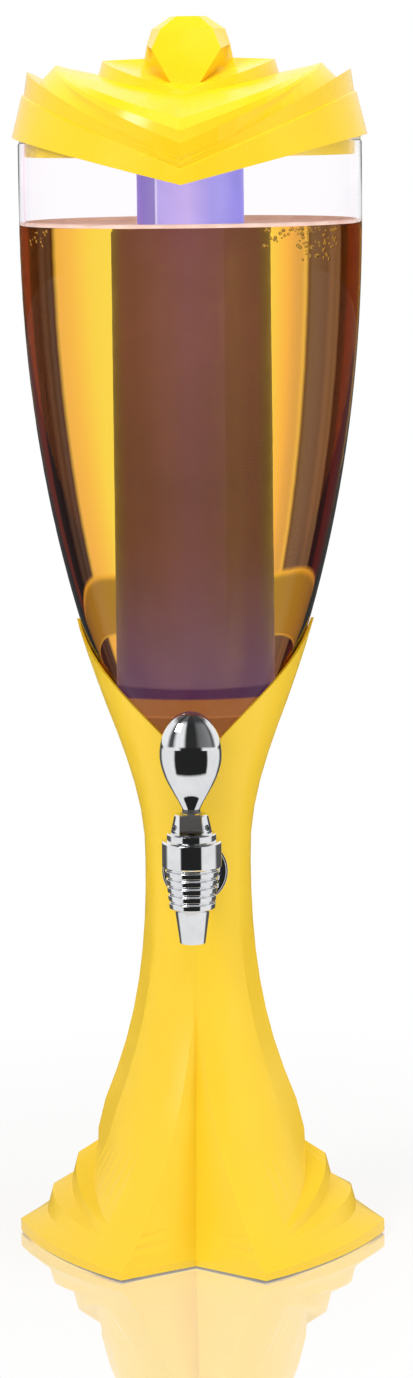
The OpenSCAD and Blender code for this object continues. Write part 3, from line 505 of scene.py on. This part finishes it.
class TOWER_OT_drink(bpy.types.Operator):
    """Fill the tank with the drink"""

    bl_idname = "tower.drink"
    bl_label = "Drink"

    def execute(self, context):
        shape = context.scene.tower_shape
        level = shape.drink_level
        outline = [(0, DRINK_FOOT_Z)]
        for k in range(DRINK_ROWS + 1):
            z = DRINK_FOOT_Z + (level - DRINK_FOOT_Z) * k / DRINK_ROWS
            outline.append((tank_inner_radius(z) - shape.wall_gap, z))
        edge = tank_inner_radius(level) - shape.wall_gap
        outline += [(edge - inward, level + climb) for inward, climb in MENISCUS]
        outline.append((0, level))
        drink = spun("drink", outline)
        drink.data.materials.append(lager())
        drink.data.materials.append(lager_surface())
        # The film of foam also hangs on the wall above the drink
        for face in drink.data.polygons:
            face.material_index = int(face.center.z > level - 0.3 * MM)
        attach(drink, "stand")
        return {"FINISHED"}


class TOWER_OT_bubbles(bpy.types.Operator):
    """Cling small bubbles to the wall just under the drink's surface"""

    bl_idname = "tower.bubbles"
    bl_label = "Bubbles"

    def execute(self, context):
        level = context.scene.tower_shape.drink_level
        draw = random.Random(BUBBLE_SEED)
        bm = bmesh.new()
        for count, first, last, deep in BUBBLE_GROUPS:
            for _ in range(count):
                z = level - (1.0 + deep * draw.random() ** 1.5) * MM
                size = draw.uniform(*BUBBLE_RADII) * MM
                turn = math.radians(draw.uniform(first, last))
                reach = tank_inner_radius(z) - size - 0.15 * MM
                middle = Matrix.Translation((reach * math.sin(turn), -reach * math.cos(turn), z))
                bmesh.ops.create_icosphere(bm, subdivisions=2, radius=size, matrix=middle)
        for face in bm.faces:
            face.smooth = True
        bubbles = join_scene("bubbles", bm)
        # Carbon dioxide in the drink: a hollow that bends light the other way
        bubbles.data.materials.append(clear_plastic("gas_in_lager", "FFFFFF", ior=0.75))
        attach(bubbles, "stand")
        return {"FINISHED"}


class TOWER_OT_ice_tube(bpy.types.Operator):
    """Dress the frosted ice tube"""

    bl_idname = "tower.ice_tube"
    bl_label = "Ice tube"

    def execute(self, context):
        frosted = ice_tube_material(context.scene.tower_shape.drink_level)
        smooth_copy("ice_tube", "ice_tube_frosted", 30, frosted)
        return {"FINISHED"}


class TOWER_OT_tap(bpy.types.Operator):
    """Dress the chromed lever tap"""

    bl_idname = "tower.tap"
    bl_label = "Lever tap"

    def execute(self, context):
        # Chrome plate on moulded ABS: a sharp mirror with a faint waviness
        chrome = metal("chrome_plate", "E3E5E8", "F0F1F3", 0.0)
        smooth_copy("tap_body", "tap_body_chrome", 25, chrome, 0.15 * MM)
        smooth_copy("tap_bonnet", "tap_bonnet_chrome", 25, chrome, 0.12 * MM)
        smooth_copy("lever_knob", "lever_knob_chrome", 40, chrome)
        grip = moulded_plastic("acetal_grey", "4A4846", "545250", 0.12, coat=0.6)
        smooth_copy("lever_foot", "lever_foot_grey", 25, grip, 0.12 * MM)
        steel = metal("pin_steel", "C9CBCE", "DADBDE", 0.22)
        finish_nodes(steel, "lever_pin")
        coil("tap_spring", steel)
        finish_nodes(moulded_plastic("acetal_white", "DAD9D3", "E4E3DE", 0.4), "tap_stem")
        finish_nodes(rubber("silicone_white", "D3D3CC", "DEDED8", 0.5),
                     "seat_cup", "port_gasket", "tank_cushion", "lid_seal")
        finish_nodes(rubber("seal_rubber", "3C3C40", "46464A", 0.6), "bonnet_seal", "tube_seal")
        return {"FINISHED"}


class TOWER_OT_lamp(bpy.types.Operator):
    """Dress the battery lamp inside the foot"""

    bl_idname = "tower.lamp"
    bl_label = "Battery lamp"

    def execute(self, context):
        finish_nodes(moulded_plastic("abs_white", "E2E2DC", "ECECE7", 0.35), "lamp_post", "lamp_housing")
        finish_nodes(moulded_plastic("board_mask", "275C40", "2F6B4A", 0.35, 0.6 * MM, 0.02 * MM), "lamp_board")
        finish_nodes(clear_plastic("led_epoxy", "F2F4FF", 0.05, 1.54), "lamp_leds")
        finish_nodes(clear_plastic("window_acrylic", "F6F8FF", 0.03), "lamp_window")
        finish_nodes(moulded_plastic("wire_sleeve", "A02A2A", "B43434", 0.4), "lamp_wires")
        return {"FINISHED"}


class TOWER_OT_underside(bpy.types.Operator):
    """Dress the base plate and what it carries"""

    bl_idname = "tower.underside"
    bl_label = "Underside"

    def execute(self, context):
        finish_nodes(moulded_plastic("abs_black", "2B2C2F", "343539", 0.5, 0.5 * MM, 0.05 * MM),
                     "base_plate", "battery_door", "button_switch")
        finish_nodes(rubber("pad_rubber", "1C1C1E", "262628", 0.7), "foot_pads")
        finish_nodes(moulded_plastic("button_red", "C8402A", "D64A32", 0.3), "power_button")
        finish_nodes(metal("zinc_plate", "A9ACB1", "C2C5C9", 0.3),
                     "plate_screws", "battery_door_screw", "liner_screws")
        steel = metal("spring_steel", "B9BBBE", "D0D2D5", 0.25)
        finish_nodes(steel, "battery_contacts")
        coil("button_spring", steel)
        finish_nodes(metal("cell_jacket", "6E7C8C", "8794A3", 0.35), "battery_cells")
        return {"FINISHED"}


# ---- stage ----


def turn_from_front(tree, parts):
    """Azimuth of a vector in radians, from the side where the tap points."""
    return reckon(tree, "ARCTAN2", parts["X"], reckon(tree, "MULTIPLY", parts["Y"], -1.0))


def floor_material(colour):
    """Pale sheet floor that takes the shadow, mirrors the foot and fades out far off."""
    material, tree = empty_material("pale_floor")
    place = own_place(tree)
    ray = add(tree, "ShaderNodeLightPath").outputs
    distance = add(tree, "ShaderNodeVectorMath", {0: place}, operation="LENGTH").outputs["Value"]
    lit = add(tree, "ShaderNodeBsdfDiffuse", {"Color": (*colour, 1)}).outputs["BSDF"]
    glow = add(tree, "ShaderNodeEmission", {"Color": WHITE, "Strength": 1.0}).outputs["Emission"]

    # The camera sees a sheet that, like any polished one, mirrors more at a low angle, and fades to white
    mirror = add(tree, "ShaderNodeBsdfGlossy", {"Color": WHITE, "Roughness": 0.03}).outputs["BSDF"]
    facing = add(tree, "ShaderNodeLayerWeight", {"Blend": 0.5}).outputs["Facing"]
    sheet = mix_shaders(tree, carry(tree, facing, 0.52, 0.68, high=0.78), lit, mirror)
    fade = carry(tree, distance, 0.22, 0.5, 0.14, 1.0, "SMOOTHSTEP")
    seen = mix_shaders(tree, fade, sheet, glow)

    # Chrome and gloss mirror it pale near the foot, and dark behind it and farther off in front
    turn = reckon(tree, "ABSOLUTE", turn_from_front(tree, axes(tree, place)))
    share = carry(tree, turn, 0.0, math.pi)
    near = ramp(tree, share, [(0.0, grey(0.88)), (0.58, grey(0.88)), (0.64, grey(0.12)), (1.0, grey(0.12))])
    far = ramp(tree, share, [(0.0, grey(0.02)), (0.2, grey(0.02)), (0.23, grey(0.88)), (0.55, grey(0.88)),
                             (0.62, grey(0.1)), (1.0, grey(0.1))])
    mirrored = mix_colours(tree, carry(tree, distance, 0.4, 0.45), near["Color"], far["Color"])
    sheen = add(tree, "ShaderNodeEmission", {"Color": mirrored, "Strength": 1.0}).outputs["Emission"]
    other = mix_shaders(tree, ray["Is Glossy Ray"], lit, sheen)

    # Under the foot it lights the base plate, which would else be black from below
    under = reckon(tree, "LESS_THAN", distance, FOOT_REACH)
    other = mix_shaders(tree, reckon(tree, "MULTIPLY", under, ray["Is Diffuse Ray"]), other, glow)
    # Through clear things it looks white
    other = mix_shaders(tree, ray["Is Transmission Ray"], other, glow)

    # From below, it doesn't hide the foot
    above = mix_shaders(tree, ray["Is Camera Ray"], other, seen)
    underneath = add(tree, "ShaderNodeNewGeometry").outputs["Backfacing"]
    whole = mix_shaders(tree, underneath, above, add(tree, "ShaderNodeBsdfTransparent").outputs["BSDF"])
    add(tree, "ShaderNodeOutputMaterial", {"Surface": whole})
    return material


class TOWER_OT_stage(bpy.types.Operator):
    """Set up the floor, the light and the camera"""

    bl_idname = "tower.stage"
    bl_label = "Stage"

    def execute(self, context):
        stage = context.scene.tower_stage
        self.floor(stage)
        self.world(context)
        self.lamps()
        self.camera(context, stage)
        context.scene.view_settings.view_transform = "Standard"
        return {"FINISHED"}

    def floor(self, stage):
        bm = bmesh.new()
        bmesh.ops.create_circle(bm, cap_ends=True, segments=96, radius=FLOOR_RADIUS)
        floor = join_scene("floor", bm)
        floor.data.materials.append(floor_material(stage.floor_colour))

    def world(self, context):
        world = bpy.data.worlds.new("studio")
        context.scene.world = world
        world.use_nodes = True
        tree = world.node_tree
        tree.nodes.clear()

        def background(colour, strength=1.0):
            inputs = {"Color": colour, "Strength": strength}
            return add(tree, "ShaderNodeBackground", inputs).outputs["Background"]

        # Soft light for what is matt, a tent for what mirrors, a backdrop for what is clear, white for the camera
        direction = add(tree, "ShaderNodeTexCoord").outputs["Generated"]
        ray = add(tree, "ShaderNodeLightPath").outputs
        whole = background(WHITE, SOFT_LIGHT)
        whole = mix_shaders(tree, ray["Is Glossy Ray"], whole, background(self.tent(tree, direction, ray)))
        whole = mix_shaders(tree, ray["Is Transmission Ray"], whole, background(self.backdrop(tree, direction)))
        whole = mix_shaders(tree, ray["Is Camera Ray"], whole, background(WHITE))
        add(tree, "ShaderNodeOutputWorld", {"Surface": whole})

    def tent(self, tree, direction, ray):
        """What chrome mirrors: white walls, a dimmer right side, and the dark room in front."""
        parts = axes(tree, direction)
        share = carry(tree, turn_from_front(tree, parts), -math.pi, math.pi)
        high = ramp(tree, share, [
            (0.0, grey(1.0)), (0.3, grey(0.95)), (0.34, grey(0.1)), (0.37, grey(0.06)), (0.4, grey(0.95)),
            (0.45, grey(0.95)), (0.47, grey(0.03)), (0.53, grey(0.03)), (0.56, grey(0.16)), (0.65, grey(0.26)),
            (0.69, grey(0.07)), (0.73, grey(0.9)), (1.0, grey(1.0))])["Color"]
        low = ramp(tree, share, [
            (0.0, grey(0.04)), (0.21, grey(0.04)), (0.25, grey(0.9)), (0.42, grey(0.95)), (0.44, grey(0.02)),
            (0.56, grey(0.02)), (0.58, grey(0.9)), (0.75, grey(0.9)), (0.79, grey(0.04)), (1.0, grey(0.04))])["Color"]
        horizon = carry(tree, parts["Z"], 0.0, 0.04)
        sharp = mix_colours(tree, horizon, low, high)
        # Blurred mirrors, such as the floor, have a white wall between the two, all round
        wall = mix_colours(tree, horizon, low, grey(0.97))
        blurred = mix_colours(tree, carry(tree, parts["Z"], 0.34, 0.42), wall, high)
        both = mix_colours(tree, ray["Is Singular Ray"], blurred, sharp)
        roof = carry(tree, parts["Z"], 0.62, 0.78, high=0.9)
        return mix_colours(tree, roof, both, grey(0.04))

    def backdrop(self, tree, direction):
        """What the drink bends into view, seen only through clear things: white paper with dark red flags beside it
        as painted shade, purple and pale pink bands as painted highlights, and a brown band over it with painted pale
        highlight lines at its edges and purple above.
        """
        parts = axes(tree, direction)
        around = reckon(tree, "ARCTAN2", parts["X"], parts["Y"])
        flags = ramp(tree, carry(tree, around, -math.pi, math.pi), [
            (0.27, grey(1.0)), (0.285, (0.1, 0.004, 0.008, 1)), (0.336, (0.11, 0.004, 0.006, 1)),
            (0.341, (0.02, 0.001, 0.003, 1)), (0.358, (0.025, 0.002, 0.006, 1)), (0.36, (0.27, 0.23, 0.9, 1)),
            (0.366, (0.17, 0.14, 0.55, 1)), (0.374, (0.25, 0.2, 0.85, 1)), (0.382, (0.16, 0.12, 0.5, 1)),
            (0.404, (0.2, 0.15, 0.55, 1)), (0.406, (0.08, 0.03, 0.04, 1)), (0.409, (0.95, 0.78, 1.0, 1)),
            (0.413, (0.75, 0.55, 0.8, 1)), (0.42, (0.8, 0.56, 1.0, 1)), (0.427, (1.0, 0.68, 0.85, 1)),
            (0.446, (1, 0.98, 1, 1)), (0.555, (1, 1, 1, 1)), (0.575, (1, 0.84, 0.95, 1)),
            (0.597, (0.96, 0.76, 0.9, 1)), (0.6, (1, 0.95, 1, 1)), (0.603, (0.06, 0.015, 0.01, 1)),
            (0.608, (0.06, 0.015, 0.01, 1)), (0.61, (0.1, 0.09, 0.5, 1)), (0.617, (0.06, 0.04, 0.2, 1)),
            (0.624, (0.1, 0.09, 0.5, 1)), (0.632, (0.06, 0.04, 0.2, 1)), (0.635, (0.012, 0.001, 0.003, 1)),
            (0.66, (0.012, 0.001, 0.003, 1)), (0.667, (0.18, 0.025, 0.06, 1)), (0.71, (0.18, 0.025, 0.06, 1)),
            (0.73, grey(1.0))])["Color"]
        # The drink's slanting wall lifts the view, the more the lower it is looked through
        spread = reckon(tree, "MULTIPLY_ADD", reckon(tree, "MULTIPLY", around, around), 1.018, 0.85)
        lifted = reckon(tree, "DIVIDE", parts["Z"], spread)
        # and more at the right than at the left, because the camera stands a little to the right
        slant = reckon(tree, "MULTIPLY_ADD", around, -0.0156, -0.007)
        height = carry(tree, reckon(tree, "ADD", lifted, slant), 0.0, 0.4)
        edge = ramp(tree, height, [
            (0.0, (1, 0.7, 0.5, 0)), (0.362, (1, 0.7, 0.5, 0)), (0.366, (0.95, 0.75, 0.5, 1)),
            (0.376, (0.42, 0.34, 0.24, 1)), (0.49, (0.45, 0.36, 0.3, 1)), (0.494, (0.9, 0.8, 0.9, 1)),
            (0.5, (0.4, 0.3, 0.3, 0)), (0.7, (0.33, 0.18, 0.45, 0)), (0.72, (0.33, 0.18, 0.45, 1)),
            (1.0, (0.33, 0.18, 0.45, 1))])
        return mix_colours(tree, edge["Alpha"], flags, edge["Color"])

    def lamps(self):
        for name, place, size, power in LAMPS:
            light = bpy.data.lights.new(name, "AREA")
            light.energy = power
            light.size = size
            lamp = bpy.data.objects.new(name, light)
            lamp.visible_glossy = name == "key_lamp"
            lamp.location = place
            aim = Vector((0, 0, LAMP_AIM_Z)) - Vector(place)
            lamp.rotation_euler = aim.to_track_quat("-Z", "Y").to_euler()
            bpy.context.scene.collection.objects.link(lamp)

    def camera(self, context, stage):
        lens = bpy.data.cameras.new("photo_camera")
        lens.sensor_fit = "VERTICAL"
        lens.sensor_height = SENSOR_HEIGHT
        lens.lens = stage.camera_lens
        lens.clip_end = 20
        camera = bpy.data.objects.new("photo_camera", lens)
        turn = math.radians(stage.camera_turn)
        place = Vector((stage.camera_distance * math.sin(turn), -stage.camera_distance * math.cos(turn),
                        stage.camera_height))
        aim = Vector((AIM_RIGHT * math.cos(turn), AIM_RIGHT * math.sin(turn), AIM_Z))
        look = (aim - place).to_track_quat("-Z", "Y").to_matrix()
        camera.location = place
        camera.rotation_euler = (look @ Matrix.Rotation(math.radians(LEAN), 3, "Z")).to_euler()
        context.scene.collection.objects.link(camera)
        context.scene.camera = camera


class TOWER_PT_panel(bpy.types.Panel):
    bl_idname = "TOWER_PT_panel"
    bl_label = "Beer tower"
    bl_space_type = "VIEW_3D"
    bl_region_type = "UI"
    bl_category = "Tower"

    def draw(self, context):
        for group in (context.scene.tower_shape, context.scene.tower_stage):
            for name in group.__annotations__:
                self.layout.prop(group, name)
        for step in steps:
            self.layout.operator(step.bl_idname)


steps = (TOWER_OT_shells, TOWER_OT_tank, TOWER_OT_drink, TOWER_OT_bubbles, TOWER_OT_ice_tube, TOWER_OT_tap,
         TOWER_OT_lamp, TOWER_OT_underside, TOWER_OT_stage)
classes = (TowerShape, TowerStage, *steps, TOWER_PT_panel)


def register():
    for made in classes:
        bpy.utils.register_class(made)
    bpy.types.Scene.tower_shape = bpy.props.PointerProperty(type=TowerShape)
    bpy.types.Scene.tower_stage = bpy.props.PointerProperty(type=TowerStage)


def unregister():
    del bpy.types.Scene.tower_stage
    del bpy.types.Scene.tower_shape
    for made in reversed(classes):
        bpy.utils.unregister_class(made)


def main():
    register()
    bpy.ops.tower.shells()
    bpy.ops.tower.tank()
    bpy.ops.tower.drink()
    bpy.ops.tower.bubbles()
    bpy.ops.tower.ice_tube()
    bpy.ops.tower.tap()
    bpy.ops.tower.lamp()
    bpy.ops.tower.underside()
    bpy.ops.tower.stage()
    # What glows is no lamp: left out of the lamps' sampling, it leaves less grain
    for material in bpy.data.materials:
        material.cycles.emission_sampling = "NONE"


if __name__ == "__main__":
    main()
